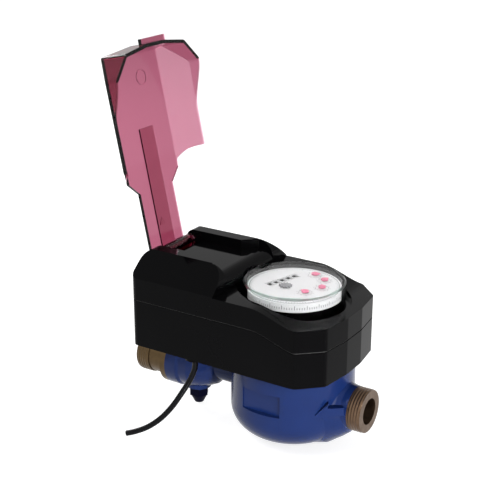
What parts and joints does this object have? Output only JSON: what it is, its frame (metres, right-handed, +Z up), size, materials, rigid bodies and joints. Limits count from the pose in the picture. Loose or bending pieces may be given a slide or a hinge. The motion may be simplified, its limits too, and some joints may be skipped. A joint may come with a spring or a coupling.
{
  "type": "valve controlled water meter",
  "caption": "Water meter with a cast bowl body, built-in shut-off valve, black case, round dial under glass and a hinged tinted lid standing open.",
  "frame": {"origin": "centre of the meter end face, on the pipe axis", "axes": "+X along the pipe, out of the meter end; +Z up along the register axis; +Y to the rear of the case"},
  "size_m": [0.1742, 0.1062, 0.2394],
  "materials": {
    "body_paint": "gloss enamel over cast brass",
    "brass": "turned",
    "case_plastic": "moulded gloss",
    "lid_plastic": "clear tinted",
    "glass": "polished",
    "white_plastic": "smooth",
    "chamber_plastic": "moulded",
    "red_plastic": "moulded",
    "grey_plastic": "moulded",
    "steel": "ground",
    "seal_rubber": "moulded",
    "board": "laminate",
    "battery_sleeve": "shrink sleeve",
    "cable_jacket": "extruded"
  },
  "bodies": {
    "meter": {"meter_body": "body_paint", "valve_plug": "body_paint", "end_piece": "brass", "lower_case": "case_plastic", "upper_cover": "case_plastic", "cable_gland": "case_plastic", "register_cup": "case_plastic", "register_glass": "glass", "dial_plate": "white_plastic", "counter_frame": "white_plastic", "ball_seats": "white_plastic", "measuring_chamber": "chamber_plastic", "strainer": "chamber_plastic", "chamber_cover": "chamber_plastic", "pressure_plate": "chamber_plastic", "movement_plate": "chamber_plastic", "head_ring": "grey_plastic", "actuator": "grey_plastic", "pulse_sensor": "grey_plastic", "impeller_pin": "steel", "counter_shaft": "steel", "case_screws": "steel", "hinge_pin": "steel", "stem_seal": "seal_rubber", "head_gasket": "seal_rubber", "case_gasket": "seal_rubber", "circuit_board": "board", "battery": "battery_sleeve", "cable": "cable_jacket"},
    "lid": {"lid": "lid_plastic"},
    "valve_shaft": {"valve_ball": "steel", "valve_stem": "brass", "drive_coupling": "white_plastic"},
    "impeller": {"impeller": "chamber_plastic"},
    "follower_magnet": {"follower_magnet": "steel"},
    "pointer_1": {"pointer_1": "red_plastic"},
    "pointer_2": {"pointer_2": "red_plastic"},
    "pointer_3": {"pointer_3": "red_plastic"},
    "pointer_4": {"pointer_4": "red_plastic"},
    "flow_indicator": {"flow_indicator": "grey_plastic"},
    "number_wheel_1": {"number_wheel_1": "white_plastic"},
    "number_wheel_2": {"number_wheel_2": "white_plastic"},
    "number_wheel_3": {"number_wheel_3": "white_plastic"},
    "number_wheel_4": {"number_wheel_4": "white_plastic"},
    "number_wheel_5": {"number_wheel_5": "white_plastic"}
  },
  "joints": [
    {"name": "lid_hinge", "type": "hinge", "parent": "meter", "child": "lid", "pos_m": [-0.1414, 0, 0.0773], "axis": [0, 1, 0], "range_deg": [0, 102]},
    {"name": "valve_turn", "type": "hinge", "parent": "meter", "child": "valve_shaft", "pos_m": [-0.124, 0, 0], "axis": [0, 0, 1], "range_deg": [0, 90]},
    {"name": "impeller_spin", "type": "hinge", "parent": "meter", "child": "impeller", "pos_m": [-0.053, 0, 0], "axis": [0, 0, 1], "continuous": true},
    {"name": "follower_spin", "type": "hinge", "parent": "meter", "child": "follower_magnet", "pos_m": [-0.053, 0, 0.044], "axis": [0, 0, 1], "continuous": true},
    {"name": "pointer_1_spin", "type": "hinge", "parent": "meter", "child": "pointer_1", "pos_m": [-0.05035, 0.02063, 0.068], "axis": [0, 0, -1], "continuous": true},
    {"name": "pointer_2_spin", "type": "hinge", "parent": "meter", "child": "pointer_2", "pos_m": [-0.0409, 0.01564, 0.068], "axis": [0, 0, -1], "continuous": true},
    {"name": "pointer_3_spin", "type": "hinge", "parent": "meter", "child": "pointer_3", "pos_m": [-0.0365, 0.00437, 0.068], "axis": [0, 0, -1], "continuous": true},
    {"name": "pointer_4_spin", "type": "hinge", "parent": "meter", "child": "pointer_4", "pos_m": [-0.04159, -0.00715, 0.068], "axis": [0, 0, -1], "continuous": true},
    {"name": "flow_indicator_spin", "type": "hinge", "parent": "meter", "child": "flow_indicator", "pos_m": [-0.05619, -0.0053, 0.068], "axis": [0, 0, -1], "continuous": true},
    {"name": "number_wheel_1_spin", "type": "hinge", "parent": "meter", "child": "number_wheel_1", "pos_m": [-0.06596, -0.00649, 0.0644], "axis": [0.2924, 0.9563, 0], "continuous": true},
    {"name": "number_wheel_2_spin", "type": "hinge", "parent": "meter", "child": "number_wheel_2", "pos_m": [-0.0645, -0.00171, 0.0644], "axis": [0.2924, 0.9563, 0], "continuous": true},
    {"name": "number_wheel_3_spin", "type": "hinge", "parent": "meter", "child": "number_wheel_3", "pos_m": [-0.06304, 0.00307, 0.0644], "axis": [0.2924, 0.9563, 0], "continuous": true},
    {"name": "number_wheel_4_spin", "type": "hinge", "parent": "meter", "child": "number_wheel_4", "pos_m": [-0.06158, 0.00785, 0.0644], "axis": [0.2924, 0.9563, 0], "continuous": true},
    {"name": "number_wheel_5_spin", "type": "hinge", "parent": "meter", "child": "number_wheel_5", "pos_m": [-0.06012, 0.01263, 0.0644], "axis": [0.2924, 0.9563, 0], "continuous": true}
  ],
  "couplings": [
    {"joint": "follower_spin", "follows": "impeller_spin", "ratio": 1},
    {"joint": "flow_indicator_spin", "follows": "impeller_spin", "ratio": 0.25},
    {"joint": "pointer_4_spin", "follows": "impeller_spin", "ratio": 0.037037},
    {"joint": "pointer_3_spin", "follows": "impeller_spin", "ratio": 0.0037037},
    {"joint": "pointer_2_spin", "follows": "impeller_spin", "ratio": 0.00037037},
    {"joint": "pointer_1_spin", "follows": "impeller_spin", "ratio": 0.000037037},
    {"joint": "number_wheel_5_spin", "follows": "impeller_spin", "ratio": 0.0000037037},
    {"joint": "number_wheel_4_spin", "follows": "impeller_spin", "ratio": 0.00000037037},
    {"joint": "number_wheel_3_spin", "follows": "impeller_spin", "ratio": 0.000000037037},
    {"joint": "number_wheel_2_spin", "follows": "impeller_spin", "ratio": 0.0000000037037},
    {"joint": "number_wheel_1_spin", "follows": "impeller_spin", "ratio": 0.00000000037037}
  ]
}
